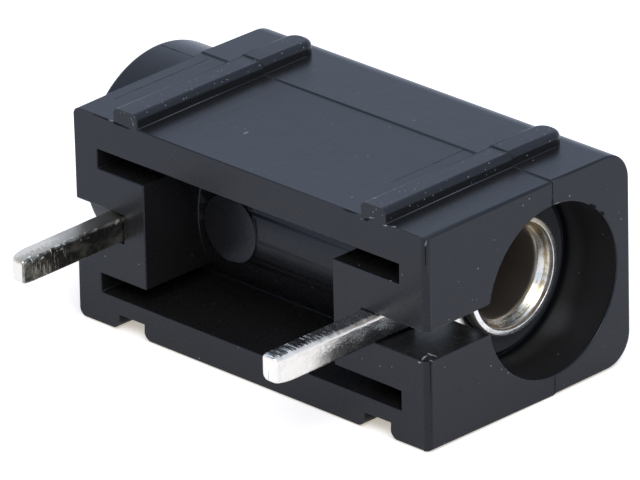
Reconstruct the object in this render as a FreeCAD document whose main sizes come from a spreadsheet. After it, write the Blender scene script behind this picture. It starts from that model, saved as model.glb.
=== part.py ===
"""Board-mounted socket for a 4 mm banana plug, lying on its grooved side.

The plug axis is the X axis and the mouth opens towards +X. The circuit board is on the -Y side, where
the two solder pins stand out, and the ribbed side is up. The origin is on the plug axis, in the plane of
the mouth. Sizes are in millimetres.
"""
import FreeCAD
import Part
import math
import os
import Sketcher
from FreeCAD import Placement, Rotation, Vector

DRIVING_SIZES = [
    ("body_length", 21.3, "mouth face to back face"),
    ("body_height", 10.0, "flat side to flat side, at the board face"),
    ("axis_height", 7.85, "plug axis above the circuit board"),
    ("far_depth", 4.81, "plug axis to the face away from the board"),
    ("draft_angle", 0.4, "taper of both mould halves, in degrees"),
    ("outer_rise", 0.08, "outer faces above the plug axis"),
    ("seam_step", 0.06, "far mould half above the board half, along the seam"),
    ("far_edge_radius", 1.42, "long edges of the face away from the board"),
    ("back_edge_radius", 0.18, "edges of the back face"),
    ("mouth_edge_radius", 0.1, "edges of the mouth face"),
    ("rib_width", 1.47, "stacking rib, across"),
    ("rib_height", 0.66, "stacking rib above the flat side, at the board face"),
    ("front_rib_depth", 3.05, "mouth face to the front rib's middle"),
    ("rear_rib_setback", 3.25, "back face to the rear rib's middle"),
    ("rib_end", 3.35, "plug axis to the rib's rounded end"),
    ("rib_edge_radius", 0.3, "top edges of a rib"),
    ("rib_end_radius", 0.66, "upright edges of a rib's end"),
    ("groove_clearance", 0.04, "play on each side of a neighbour's rib in its groove"),
    ("groove_lip_radius", 0.3, "rounded lips of a groove"),
    ("boss_diameter", 9.55, "round closed end on the back face"),
    ("boss_projection", 2.8, "round closed end behind the back face"),
    ("boss_edge_radius", 0.3, "outer edge of the round closed end"),
    ("closed_end_wall", 1.5, "round closed end, behind the sleeve"),
    ("cavity_height", 6.86, "hollow between the two side walls"),
    ("mouth_wall", 1.6, "mouth face to the hollow"),
    ("back_wall", 1.4, "back face to the hollow"),
    ("cavity_depth", 5.2, "hollow from the board face, beside the channel"),
    ("block_height", 5.0, "pin blocks, between the slots beside them"),
    ("front_block_depth", 5.57, "mouth face to the inner side of the front pin block"),
    ("rear_block_setback", 4.25, "back face to the inner side of the rear pin block"),
    ("channel_diameter", 9.16, "round wall that houses the contact sleeve"),
    ("ejector_diameter", 3.15, "ejector mark on the channel"),
    ("ejector_depth", 15.0, "mouth face to the middle of the ejector mark"),
    ("ejector_proud", 0.07, "ejector mark above the channel's crest"),
    ("recess_diameter", 8.0, "shroud recess in the mouth face"),
    ("recess_depth", 3.0, "mouth face to the recess floor"),
    ("relief_width", 0.2, "ring left round the recess floor by the core pin"),
    ("relief_depth", 0.2, "depth of that ring"),
    ("rim_depth", 2.3, "mouth face to the sleeve's rim"),
    ("sleeve_bore", 4.1, "contact sleeve, inside, for a 4 mm plug"),
    ("sleeve_wall", 0.7, "wall of the contact sleeve"),
    ("sleeve_play", 0.03, "sleeve in its channel, on the radius"),
    ("rim_width", 0.3, "wall of the sleeve beside its counterbore"),
    ("rim_edge_radius", 0.1, "outer edge of the sleeve's rim"),
    ("counterbore_depth", 0.2, "rim to the start of the lead-in cone"),
    ("lead_in_depth", 0.72, "rim to the end of the lead-in cone"),
    ("sleeve_end_chamfer", 0.2, "outer edge of the sleeve's inner end"),
    ("front_pin_depth", 3.43, "mouth face to the front pin's middle"),
    ("rear_pin_setback", 2.37, "back face to the rear pin's middle"),
    ("pin_projection", 6.1, "pins beyond the board face"),
    ("front_pin_width", 0.88, "front pin, along the plug axis"),
    ("front_pin_height", 1.32, "front pin, across the slot"),
    ("rear_pin_width", 1.06, "rear pin, along the plug axis"),
    ("rear_pin_height", 1.16, "rear pin, across the slot"),
    ("pin_tip_chamfer", 0.14, "sheared tip of a pin"),
    ("pin_edge_radius", 0.08, "long edges of a pin"),
    ("pin_seat_depth", 0.3, "pins let into the sleeve's wall"),
    ("pin_seat_play", 0.02, "pin in its seat, on each side"),
    ("slot_height", 1.4, "pin slots in the blocks"),
    ("slot_play", 0.04, "pin to the inner end of its slot"),
]
SLEEVE_RADIUS = "(sleeve_bore / 2 + sleeve_wall)"
SLEEVE_END_DEPTH = "(body_length + boss_projection - closed_end_wall)"
SLEEVE_LENGTH = f"({SLEEVE_END_DEPTH} - rim_depth)"
REAR_PIN_DEPTH = "(body_length - rear_pin_setback)"


def make_sheet(document):
    """Write the driving sizes as a table of name, value and meaning."""
    sheet = document.addObject("Spreadsheet::Sheet", "Sizes")
    for row, (alias, value, meaning) in enumerate(DRIVING_SIZES, start=1):
        sheet.set(f"A{row}", alias.replace("_", " "))
        sheet.set(f"B{row}", str(value))
        sheet.set(f"C{row}", meaning)
        sheet.setAlias(f"B{row}", alias)
    document.recompute()
    return sheet


def bound(text):
    """Point the size names in an expression at the sheet."""
    words = []
    word = ""
    for sign in text + " ":
        if sign.isalnum() or sign == "_":
            word += sign
            continue
        words.append(f"Sizes.{word}" if word in SIZE_NAMES else word)
        words.append(sign)
        word = ""
    return "".join(words).strip()


def number(text):
    """Value of an expression on the sheet's sizes, as a plain number."""
    value = SHEET.evalExpression(text)
    return float(getattr(value, "Value", value))


def new_body(name, **place):
    """Start a body, with the parts of its place bound to the sheet."""
    body = DOCUMENT.addObject("PartDesign::Body", name)
    body.Label = name
    for axis, text in place.items():
        body.setExpression(f"Placement.Base.{axis}", bound(text))
    return body


def new_sketch(body, name, role, offset=None):
    """Attach a sketch to an origin plane of its body, lifted along the plane's normal."""
    sketch = body.newObject("Sketcher::SketchObject", name)
    plane = next(item for item in body.Origin.OriginFeatures if item.Role == role)
    sketch.AttachmentSupport = [(plane, "")]
    sketch.MapMode = "FlatFace"
    if offset:
        sketch.setExpression("AttachmentOffset.Base.z", bound(offset))
    return sketch


def hold(sketch, curve, end, across, up):
    """Fix a point of the sketch by its two distances from the origin."""
    for kind, text, axis in (("DistanceX", across, -2), ("DistanceY", up, -1)):
        if text == "0":
            sketch.addConstraint(Sketcher.Constraint("PointOnObject", curve, end, axis))
            continue
        index = sketch.addConstraint(Sketcher.Constraint(kind, -1, 1, curve, end, number(text)))
        sketch.setExpression(f"Constraints[{index}]", bound(text))


def draw_outline(sketch, corners, arcs=None):
    """Draw a closed outline through corners, each a pair of expressions.

    arcs maps the place of a corner to (radius, centre across, centre up) for an arc to the next one.
    """
    arcs = arcs or {}
    points = [Vector(number(across), number(up), 0) for across, up in corners]
    ends = []
    for place, start in enumerate(points):
        finish = points[(place + 1) % len(points)]
        if place not in arcs:
            ends.append((sketch.addGeometry(Part.LineSegment(start, finish), False), 1, 2))
            continue
        radius, across, up = arcs[place]
        centre = Vector(number(across), number(up), 0)
        first, last = (math.atan2(p.y - centre.y, p.x - centre.x) for p in (start, finish))
        forward = (last - first) % (2 * math.pi) <= math.pi
        span = (first, last) if forward else (last, first)
        circle = Part.Circle(centre, Vector(0, 0, 1), number(radius))
        curve = sketch.addGeometry(Part.ArcOfCircle(circle, *span), False)
        index = sketch.addConstraint(Sketcher.Constraint("Radius", curve, number(radius)))
        sketch.setExpression(f"Constraints[{index}]", bound(radius))
        ends.append((curve, 1, 2) if forward else (curve, 2, 1))
    for place, (curve, start, finish) in enumerate(ends):
        following = ends[(place + 1) % len(ends)]
        sketch.addConstraint(Sketcher.Constraint("Coincident", curve, finish, following[0], following[1]))
        hold(sketch, curve, start, *corners[place])


def draw_box(sketch, left, right, low, high):
    """Draw a rectangle from the expressions of its four sides."""
    draw_outline(sketch, [(left, low), (right, low), (right, high), (left, high)])


def draw_circle(sketch, diameter, across="0", up="0"):
    """Draw a circle at a held centre."""
    circle = Part.Circle(Vector(number(across), number(up), 0), Vector(0, 0, 1), number(diameter) / 2)
    curve = sketch.addGeometry(circle, False)
    index = sketch.addConstraint(Sketcher.Constraint("Diameter", curve, number(diameter)))
    sketch.setExpression(f"Constraints[{index}]", bound(diameter))
    hold(sketch, curve, 3, across, up)


def extrude(body, kind, name, sketch, length, backwards=False):
    """Pad or pocket a sketch by a bound length, and check that it changed the solid the right way."""
    before = body.Shape.Volume if body.Tip else 0.0
    feature = body.newObject(f"PartDesign::{kind}", name)
    feature.Profile = sketch
    feature.setExpression("Length", bound(length))
    feature.Reversed = backwards
    return checked(body, feature, before, grows=kind == "Pad")


def turn(body, kind, name, sketch):
    """Turn a sketch about its own horizontal axis, to add or remove a round solid."""
    before = body.Shape.Volume if body.Tip else 0.0
    feature = body.newObject(f"PartDesign::{kind}", name)
    feature.Profile = sketch
    feature.ReferenceAxis = (sketch, ["H_Axis"])
    feature.Angle = 360.0
    return checked(body, feature, before, grows=kind == "Revolution")


def checked(body, feature, before, grows):
    """Recompute a feature and refuse one that left the solid as it was."""
    DOCUMENT.recompute()
    gain = body.Shape.Volume - before
    if (gain if grows else -gain) <= 0:
        raise RuntimeError(f"{feature.Name} did not change {body.Name} as it should")
    return feature


def soften(body, kind, name, size, wanted):
    """Fillet or chamfer the edges that a test on the edge's box picks out."""
    base = body.Tip
    names = [f"Edge{i}" for i, edge in enumerate(base.Shape.Edges, start=1) if wanted(edge.BoundBox)]
    if not names:
        raise RuntimeError(f"{name} found no edge")
    feature = body.newObject(f"PartDesign::{kind}", name)
    feature.Base = (base, names)
    feature.setExpression("Radius" if kind == "Fillet" else "Size", bound(size))
    DOCUMENT.recompute()
    return feature


def near(first, second):
    """Tell whether two lengths are the same within the solids' tolerance."""
    return abs(first - second) < 1e-4


def flat_at(low, high, value):
    """Tell whether an edge's extent on one axis is all at one value."""
    return near(low, value) and near(high, value)


def half_height(distance):
    """Half height of a mould half, as an expression, at a distance along the board half from the board."""
    return f"(body_height / 2 + {distance} * tan(draft_angle * 1 deg))"


def rib_middles():
    """Places of the two ribs, and of the grooves under them, along the plug axis."""
    return ["-front_rib_depth", "-(body_length - rear_rib_setback)"]


def add_half(body, title, near_side, far_side, near_half, far_half, rise):
    """Extrude one mould half along the plug axis from its tapered end view."""
    profile = new_sketch(body, f"{title}_profile", "YZ_Plane")
    draw_outline(profile, [
        (near_side, f"{rise} - {near_half}"),
        (far_side, f"{rise} - {far_half}"),
        (far_side, f"{rise} + {far_half}"),
        (near_side, f"{rise} + {near_half}"),
    ])
    extrude(body, "Pad", title, profile, "body_length", backwards=True)


def add_ribs(body, title, near_side, far_side, rise):
    """Raise the two stacking ribs of one mould half, from inside the wall up to their crests."""
    root = f"{rise} + body_height / 2 - rib_height"
    plan = new_sketch(body, f"{title}_plan", "XY_Plane", root)
    for middle in rib_middles():
        draw_box(plan, f"{middle} - rib_width / 2", f"{middle} + rib_width / 2", near_side, far_side)
    extrude(body, "Pad", title, plan, "2 * rib_height")


def build_board_half(body):
    """Mould half on the board side of the seam, with its stretch of the ribs."""
    seam_half = half_height("axis_height")
    add_half(body, "board_half", "-axis_height", "0", "body_height / 2", seam_half, "outer_rise")
    back = -number("body_length")
    board = -number("axis_height")
    crest = number("outer_rise + body_height / 2 + rib_height")
    soften(body, "Fillet", "board_half_back_edges", "back_edge_radius",
           lambda box: flat_at(box.XMin, box.XMax, back) and box.YLength > box.ZLength)
    soften(body, "Fillet", "board_half_mouth_edges", "mouth_edge_radius",
           lambda box: flat_at(box.XMin, box.XMax, 0)
           and (box.YLength > box.ZLength or flat_at(box.YMin, box.YMax, board)))
    add_ribs(body, "board_half_ribs", "-axis_height", "0", "outer_rise")
    soften(body, "Fillet", "board_half_rib_edges", "rib_edge_radius",
           lambda box: flat_at(box.ZMin, box.ZMax, crest) and box.YLength > box.XLength)


def build_far_half(body):
    """Mould half away from the board, with the rounded ends of the ribs."""
    rise = "(outer_rise + seam_step)"
    seam_half = half_height("axis_height")
    far_half = half_height("(axis_height - far_depth)")
    add_half(body, "far_half", "0", "far_depth", seam_half, far_half, rise)
    back = -number("body_length")
    far = number("far_depth")
    crest = number(f"{rise} + body_height / 2 + rib_height")
    rib_end = number("rib_end")
    soften(body, "Fillet", "far_edges", "far_edge_radius",
           lambda box: flat_at(box.YMin, box.YMax, far) and box.XLength > box.ZLength)
    soften(body, "Fillet", "far_half_back_edges", "back_edge_radius",
           lambda box: flat_at(box.XMin, box.XMax, back) and box.YMax > 1e-3)
    soften(body, "Fillet", "far_half_mouth_edges", "mouth_edge_radius",
           lambda box: flat_at(box.XMin, box.XMax, 0) and box.YMax > 1e-3)
    add_ribs(body, "far_half_ribs", "0", "rib_end", rise)
    soften(body, "Fillet", "rib_end_corners", "rib_end_radius",
           lambda box: flat_at(box.YMin, box.YMax, rib_end) and box.ZLength > box.XLength)
    soften(body, "Fillet", "far_half_rib_edges", "rib_edge_radius",
           lambda box: flat_at(box.ZMin, box.ZMax, crest) and box.YMax > 1e-3)


def join(body, other):
    """Fuse another body's solid into this one."""
    fused = body.newObject("PartDesign::Boolean", "joined_halves")
    fused.Type = "Fuse"
    fused.setObjects([other])
    DOCUMENT.recompute()


def cut_grooves(body):
    """Cut the two grooves that take a neighbour's ribs, with rounded lips, along the whole width."""
    profile = new_sketch(body, "groove_profile", "XZ_Plane", "axis_height")
    half = "(rib_width / 2 + groove_clearance)"
    ceiling = "outer_rise - body_height / 2 + rib_height + groove_clearance"
    face = f"(outer_rise - {half_height('axis_height')})"
    for middle in rib_middles():
        corners = [
            (f"{middle} - {half}", ceiling),
            (f"{middle} - {half}", f"{face} + groove_lip_radius"),
            (f"{middle} - {half} - groove_lip_radius", face),
            (f"{middle} - {half} - groove_lip_radius", f"{face} - rib_height"),
            (f"{middle} + {half} + groove_lip_radius", f"{face} - rib_height"),
            (f"{middle} + {half} + groove_lip_radius", face),
            (f"{middle} + {half}", f"{face} + groove_lip_radius"),
            (f"{middle} + {half}", ceiling),
        ]
        centre_up = f"{face} + groove_lip_radius"
        draw_outline(profile, corners, {
            1: ("groove_lip_radius", f"{middle} - {half} - groove_lip_radius", centre_up),
            5: ("groove_lip_radius", f"{middle} + {half} + groove_lip_radius", centre_up),
        })
    extrude(body, "Pocket", "stacking_grooves", profile, "axis_height + far_depth + rib_height")


def add_boss(body):
    """Add the round closed end behind the back face."""
    section = new_sketch(body, "boss_section", "YZ_Plane", "-(body_length + boss_projection)")
    draw_circle(section, "boss_diameter")
    extrude(body, "Pad", "boss", section, "boss_projection + back_wall")
    end = -number("body_length + boss_projection")
    soften(body, "Fillet", "boss_edge", "boss_edge_radius", lambda box: flat_at(box.XMin, box.XMax, end))


def hollow_board_side(body):
    """Hollow the board side and leave the channel, the pin blocks and the ejector mark in it."""
    hollow = new_sketch(body, "hollow_plan", "XZ_Plane", "axis_height")
    draw_box(hollow, "-(body_length - back_wall)", "-mouth_wall", "-cavity_height / 2", "cavity_height / 2")
    extrude(body, "Pocket", "board_side_hollow", hollow, "cavity_depth")
    blocks = new_sketch(body, "pin_block_plan", "XZ_Plane", "axis_height")
    draw_box(blocks, "-front_block_depth", "-mouth_wall / 2", "-block_height / 2", "block_height / 2")
    draw_box(blocks, "-(body_length - back_wall / 2)", "-(body_length - rear_block_setback)",
             "-block_height / 2", "block_height / 2")
    extrude(body, "Pad", "pin_blocks", blocks, "cavity_depth", backwards=True)
    channel = new_sketch(body, "channel_section", "YZ_Plane", "-mouth_wall / 2")
    draw_circle(channel, "channel_diameter")
    extrude(body, "Pad", "sleeve_channel", channel, "body_length - (mouth_wall + back_wall) / 2",
            backwards=True)
    mark = new_sketch(body, "ejector_plan", "XZ_Plane", "channel_diameter / 2 + ejector_proud")
    draw_circle(mark, "ejector_diameter", across="-ejector_depth")
    extrude(body, "Pad", "ejector_mark", mark, "ejector_diameter / 2", backwards=True)


def bore_housing(body):
    """Turn out the shroud recess, the ring round its floor and the seat of the contact sleeve."""
    profile = new_sketch(body, "bore_profile", "XY_Plane")
    seat = f"{SLEEVE_RADIUS} + sleeve_play"
    floor_edge = "recess_diameter / 2 - relief_width"
    draw_outline(profile, [
        ("mouth_wall", "0"),
        ("mouth_wall", "recess_diameter / 2"),
        ("-(recess_depth + relief_depth)", "recess_diameter / 2"),
        ("-(recess_depth + relief_depth)", floor_edge),
        ("-recess_depth", floor_edge),
        ("-recess_depth", seat),
        (f"-{SLEEVE_END_DEPTH}", seat),
        (f"-{SLEEVE_END_DEPTH}", "0"),
    ])
    turn(body, "Groove", "recess_and_sleeve_seat", profile)


def cut_pin_slots(body):
    """Cut the slot of each pin from the board face to the sleeve, open through the end face beside it."""
    front_end = "-(front_pin_depth + front_pin_width / 2 + slot_play)"
    rear_end = f"-({REAR_PIN_DEPTH} - rear_pin_width / 2 - slot_play)"
    plan = new_sketch(body, "pin_slot_plan", "XZ_Plane", "axis_height")
    draw_box(plan, front_end, "mouth_wall", "-slot_height / 2", "slot_height / 2")
    draw_box(plan, "-body_length", rear_end, "-slot_height / 2", "slot_height / 2")
    extrude(body, "Pocket", "pin_slots", plan, f"axis_height - {SLEEVE_RADIUS} + pin_seat_depth")


def build_housing():
    """Moulded housing, from its two mould halves to the cuts for the metal parts."""
    far = new_body("far_mould_half")
    build_far_half(far)
    body = new_body("housing")
    build_board_half(body)
    join(body, far)
    add_boss(body)
    hollow_board_side(body)
    cut_grooves(body)
    bore_housing(body)
    cut_pin_slots(body)
    return body


def cut_pin_seat(body, which, middle):
    """Let one pin's flat seat into the sleeve's wall, on the board side."""
    half = f"({which}_pin_width / 2 + pin_seat_play)"
    height = f"({which}_pin_height / 2 + pin_seat_play)"
    plan = new_sketch(body, f"{which}_seat_plan", "XZ_Plane", SLEEVE_RADIUS)
    draw_box(plan, f"rim_depth - {middle} - {half}", f"rim_depth - {middle} + {half}", f"-{height}", height)
    extrude(body, "Pocket", f"{which}_pin_seat", plan, "pin_seat_depth")


def build_sleeve():
    """Turned contact sleeve with a short counterbore and a lead-in cone, drawn from its rim inwards."""
    body = new_body("contact_sleeve", x="-rim_depth")
    outer = SLEEVE_RADIUS
    inner = "sleeve_bore / 2"
    profile = new_sketch(body, "sleeve_profile", "XY_Plane")
    draw_outline(profile, [
        ("-rim_edge_radius", outer),
        ("0", f"{outer} - rim_edge_radius"),
        ("0", f"{outer} - rim_width"),
        ("-counterbore_depth", f"{outer} - rim_width"),
        ("-lead_in_depth", inner),
        (f"-{SLEEVE_LENGTH}", inner),
        (f"-{SLEEVE_LENGTH}", f"{outer} - sleeve_end_chamfer"),
        (f"-({SLEEVE_LENGTH} - sleeve_end_chamfer)", outer),
    ], {0: ("rim_edge_radius", "-rim_edge_radius", f"{outer} - rim_edge_radius")})
    turn(body, "Revolution", "turned_sleeve", profile)
    cut_pin_seat(body, "front", "front_pin_depth")
    cut_pin_seat(body, "rear", REAR_PIN_DEPTH)
    return body


def build_pin(which, middle):
    """Rectangular solder pin, from its seat in the sleeve out to its sheared tip."""
    body = new_body(f"{which}_solder_pin", x=f"-{middle}", y="-axis_height")
    width = f"{which}_pin_width / 2"
    height = f"{which}_pin_height / 2"
    section = new_sketch(body, f"{which}_pin_section", "XZ_Plane", "pin_projection")
    draw_box(section, f"-{width}", width, f"-{height}", height)
    reach = f"pin_projection + axis_height - {SLEEVE_RADIUS} + pin_seat_depth"
    extrude(body, "Pad", f"{which}_pin_blank", section, reach, backwards=True)
    tip = -number("pin_projection")
    soften(body, "Chamfer", f"{which}_pin_tip", "pin_tip_chamfer",
           lambda box: flat_at(box.YMin, box.YMax, tip))
    soften(body, "Fillet", f"{which}_pin_long_edges", "pin_edge_radius",
           lambda box: box.YLength > 2 * max(box.XLength, box.ZLength))
    return body


def faults():
    """List what did not compute, and the sub-parts without a sound solid."""
    bad = [item.Name for item in DOCUMENT.Objects if {"Invalid", "Error"} & set(item.State)]
    for part in PARTS:
        if part.Shape.isNull() or not part.Shape.isValid() or len(part.Shape.Solids) != 1:
            bad.append(part.Label)
    return bad


def write_parts():
    """Write each sub-part to a file named after it."""
    os.makedirs("parts", exist_ok=True)
    for part in PARTS:
        part.Shape.exportStep(f"parts/{part.Label}.step")
        box = part.Shape.optimalBoundingBox()
        print(f"{part.Label}: volume {part.Shape.Volume:.3f}, x {box.XMin:.2f} to {box.XMax:.2f}, "
              f"y {box.YMin:.2f} to {box.YMax:.2f}, z {box.ZMin:.2f} to {box.ZMax:.2f}")


DOCUMENT = FreeCAD.newDocument("banana_socket")
SHEET = make_sheet(DOCUMENT)
SIZE_NAMES = {alias for alias, value, meaning in DRIVING_SIZES}
PARTS = [
    build_housing(),
    build_sleeve(),
    build_pin("front", "front_pin_depth"),
    build_pin("rear", REAR_PIN_DEPTH),
]
DOCUMENT.recompute()
problems = faults()
if problems:
    raise RuntimeError("not sound: " + ", ".join(problems))
write_parts()
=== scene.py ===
"""Studio scene of a board-mounted socket for a 4 mm banana plug.

Lengths are in millimetres, in the frame of the solids: X is the plug axis and runs out of the mouth, the
circuit board is on the -Y side, and the ribbed side is up. Meshes are written in metres.
"""
import logging
import math
from dataclasses import dataclass
from enum import Enum
from typing import Any

import bmesh
import bpy
import numpy as np
from mathutils import Matrix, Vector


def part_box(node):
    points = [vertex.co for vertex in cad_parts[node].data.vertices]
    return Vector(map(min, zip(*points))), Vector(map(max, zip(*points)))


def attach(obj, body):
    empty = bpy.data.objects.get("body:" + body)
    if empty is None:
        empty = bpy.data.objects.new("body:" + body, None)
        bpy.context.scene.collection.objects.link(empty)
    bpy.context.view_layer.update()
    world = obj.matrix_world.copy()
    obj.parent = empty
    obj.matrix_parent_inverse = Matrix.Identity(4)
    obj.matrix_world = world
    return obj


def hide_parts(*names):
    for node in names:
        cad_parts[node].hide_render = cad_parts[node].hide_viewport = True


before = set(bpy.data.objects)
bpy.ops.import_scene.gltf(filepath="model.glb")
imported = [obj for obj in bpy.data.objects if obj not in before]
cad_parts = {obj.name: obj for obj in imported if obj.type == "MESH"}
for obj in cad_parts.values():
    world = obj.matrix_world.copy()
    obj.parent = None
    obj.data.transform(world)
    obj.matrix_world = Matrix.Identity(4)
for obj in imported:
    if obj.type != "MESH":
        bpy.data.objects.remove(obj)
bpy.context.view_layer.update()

LOG = logging.getLogger("banana_socket")
MM = 0.001
BODY = "root"

# Places along Y and X that several pieces and finishes share
BOARD_FACE = -7.85
RECESS_FLOOR = -3.0

Array = np.ndarray
Colour = tuple[float, float, float, float]
Triple = tuple[float, float, float]
Pair = tuple[float, float]


class Slot(Enum):
    """Material slots of the record."""

    PLASTIC = "housing_plastic"
    NICKEL = "nickel_plate"
    TIN = "tin_plate"


class Axis(Enum):
    """Axes of the part's frame, by the names of the node outputs that give them."""

    X = "X"
    Y = "Y"
    Z = "Z"


class Signal:
    """One output of a material's nodes, with arithmetic that adds Math nodes."""

    def __init__(self, recipe: "Recipe", socket: bpy.types.NodeSocket) -> None:
        """Wrap a socket of a recipe's node tree."""
        self.recipe = recipe
        self.socket = socket

    def _math(self, operation: str, *operands: "Signal | float") -> "Signal":
        """Add a Math node with these operands."""
        return self.recipe.node("ShaderNodeMath", {"operation": operation}, dict(enumerate(operands)))

    def __add__(self, other: "Signal | float") -> "Signal":
        """Sum."""
        return self._math("ADD", self, other)

    def __radd__(self, other: float) -> "Signal":
        """Sum with the number first."""
        return self._math("ADD", other, self)

    def __sub__(self, other: "Signal | float") -> "Signal":
        """Difference."""
        return self._math("SUBTRACT", self, other)

    def __rsub__(self, other: float) -> "Signal":
        """Difference with the number first."""
        return self._math("SUBTRACT", other, self)

    def __mul__(self, other: "Signal | float") -> "Signal":
        """Product."""
        return self._math("MULTIPLY", self, other)

    def __rmul__(self, other: float) -> "Signal":
        """Product with the number first."""
        return self._math("MULTIPLY", other, self)

    def __pow__(self, other: "Signal | float") -> "Signal":
        """Power."""
        return self._math("POWER", self, other)

    def above(self, limit: "Signal | float") -> "Signal":
        """One where the signal is over a limit, else zero."""
        return self._math("GREATER_THAN", self, limit)

    def below(self, limit: "Signal | float") -> "Signal":
        """One where the signal is under a limit, else zero."""
        return self._math("LESS_THAN", self, limit)

    def ramp(self, low: float, high: float) -> "Signal":
        """Smooth step from zero at low to one at high."""
        inputs = {"Value": self, "From Min": low, "From Max": high}
        return self.recipe.node("ShaderNodeMapRange", {"interpolation_type": "SMOOTHSTEP"}, inputs)


class Recipe:
    """Node tree of one material."""

    def __init__(self, name: str) -> None:
        """Start an empty material.

        Args:
            name: The material's name.
        """
        self.material = bpy.data.materials.new(name)
        self.material.use_nodes = True
        self.tree = self.material.node_tree
        self.tree.nodes.clear()

    def node(self, kind: str, settings: dict[str, Any] | None = None,
             inputs: dict[str | int, Any] | None = None, output: int | str = 0) -> Signal:
        """Add a node.

        Args:
            kind: The node's type.
            settings: Its settings, which are set first.
            inputs: Values or signals for its sockets, by name or number.
            output: The socket to read.

        Returns:
            The signal of that output.
        """
        made = self.tree.nodes.new(kind)
        for name, value in (settings or {}).items():
            setattr(made, name, value)
        for key, value in (inputs or {}).items():
            if isinstance(value, Signal):
                self.tree.links.new(value.socket, made.inputs[key])
            else:
                made.inputs[key].default_value = value
        return Signal(self, made.outputs[output])

    def place(self, scale: Triple = (1.0, 1.0, 1.0), turn: Triple = (0.0, 0.0, 0.0)) -> Signal:
        """Place on the object in millimetres, turned and stretched.

        Args:
            scale: Stretch on each axis.
            turn: Turn about each axis, in degrees.

        Returns:
            The place as a vector.
        """
        inputs = {
            "Vector": self.node("ShaderNodeTexCoord", output="Object"),
            "Rotation": tuple(math.radians(value) for value in turn),
            "Scale": tuple(value / MM for value in scale),
        }
        return self.node("ShaderNodeMapping", inputs=inputs)

    def axis(self, axis: Axis) -> Signal:
        """One coordinate of the place, in millimetres."""
        return self.node("ShaderNodeSeparateXYZ", inputs={"Vector": self.place()}, output=axis.value)

    def radius(self) -> Signal:
        """Distance from the plug axis, in millimetres."""
        return (self.axis(Axis.Y) ** 2.0 + self.axis(Axis.Z) ** 2.0) ** 0.5

    def distance(self, centre: Triple) -> Signal:
        """Distance from a point, in millimetres."""
        inputs = {0: self.place(), 1: centre}
        return self.node("ShaderNodeVectorMath", {"operation": "DISTANCE"}, inputs, output="Value")

    def noise(self, scale: Triple, detail: float = 2.0, rough: float = 0.5,
              turn: Triple = (0.0, 0.0, 0.0)) -> Signal:
        """Noise between zero and one, with this many waves in a millimetre on each turned axis."""
        inputs = {"Vector": self.place(scale, turn), "Scale": 1.0, "Detail": detail, "Roughness": rough}
        return self.node("ShaderNodeTexNoise", inputs=inputs)

    def specks(self, scale: Triple, share: float, size: float) -> Signal:
        """Mask of small spots, one at most in each cell of a random pattern.

        Args:
            scale: Cells in a millimetre on each axis.
            share: Share of the cells that hold a spot.
            size: Radius of the largest spot, in cells.

        Returns:
            One on the spots, else zero.
        """
        cell = {"Vector": self.place(scale), "Scale": 1.0}
        distance = self.node("ShaderNodeTexVoronoi", inputs=cell, output="Distance")
        tint = self.node("ShaderNodeTexVoronoi", inputs=cell, output="Color")
        chance = self.node("ShaderNodeSeparateColor", inputs={"Color": tint}, output="Red")
        spread = self.node("ShaderNodeSeparateColor", inputs={"Color": tint}, output="Green")
        return chance.below(share) * distance.below(spread * size)

    def blend(self, factor: Signal, first: Colour | Signal, second: Colour | Signal) -> Signal:
        """Mix two colours by a factor: its sockets 0, 6 and 7 are the factor and the two colours."""
        inputs = {0: factor, 6: first, 7: second}
        return self.node("ShaderNodeMix", {"data_type": "RGBA"}, inputs, output=2)

    def relief(self, height: Signal) -> Signal:
        """Surface direction of a relief whose height is in millimetres."""
        return self.node("ShaderNodeBump", inputs={"Height": height, "Distance": MM, "Strength": 1.0})

    def finish(self, shader: Signal) -> bpy.types.Material:
        """End the material in a shader.

        Args:
            shader: The shader to link to the material's output.

        Returns:
            The finished material.
        """
        target = self.tree.nodes.new("ShaderNodeOutputMaterial")
        self.tree.links.new(shader.socket, target.inputs["Surface"])
        return self.material


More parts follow.
